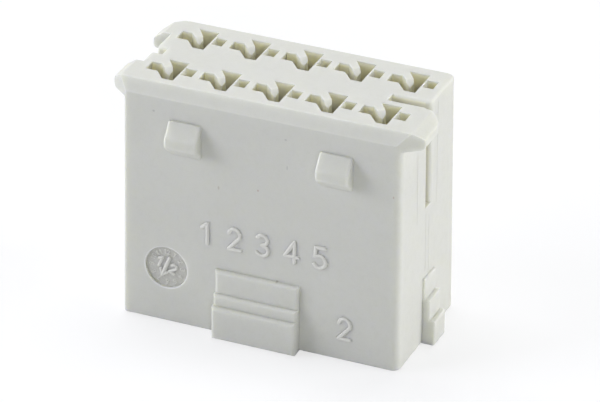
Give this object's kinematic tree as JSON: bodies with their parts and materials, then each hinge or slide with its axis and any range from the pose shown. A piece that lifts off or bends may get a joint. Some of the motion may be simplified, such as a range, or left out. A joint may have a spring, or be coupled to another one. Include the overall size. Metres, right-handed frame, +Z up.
{
  "type": "electrical connector housing",
  "caption": "Rectangular plastic connector housing with two rows of keyed contact cavities, snap noses, a stepped coding tab and rail slots.",
  "frame": {"origin": "centre of the mating foot, at the level of the foot", "axes": "+Z up from the mating foot to the wire-entry face, +X along a row of cavities to the right, -Y out of the face with the date dial and the coding tab"},
  "size_m": [0.0292, 0.0154, 0.0232],
  "materials": {
    "housing": "fine-grained moulded surface of glass-filled polyamide, pale warm grey"
  },
  "bodies": {
    "root": {"housing": "housing"}
  },
  "joints": []
}
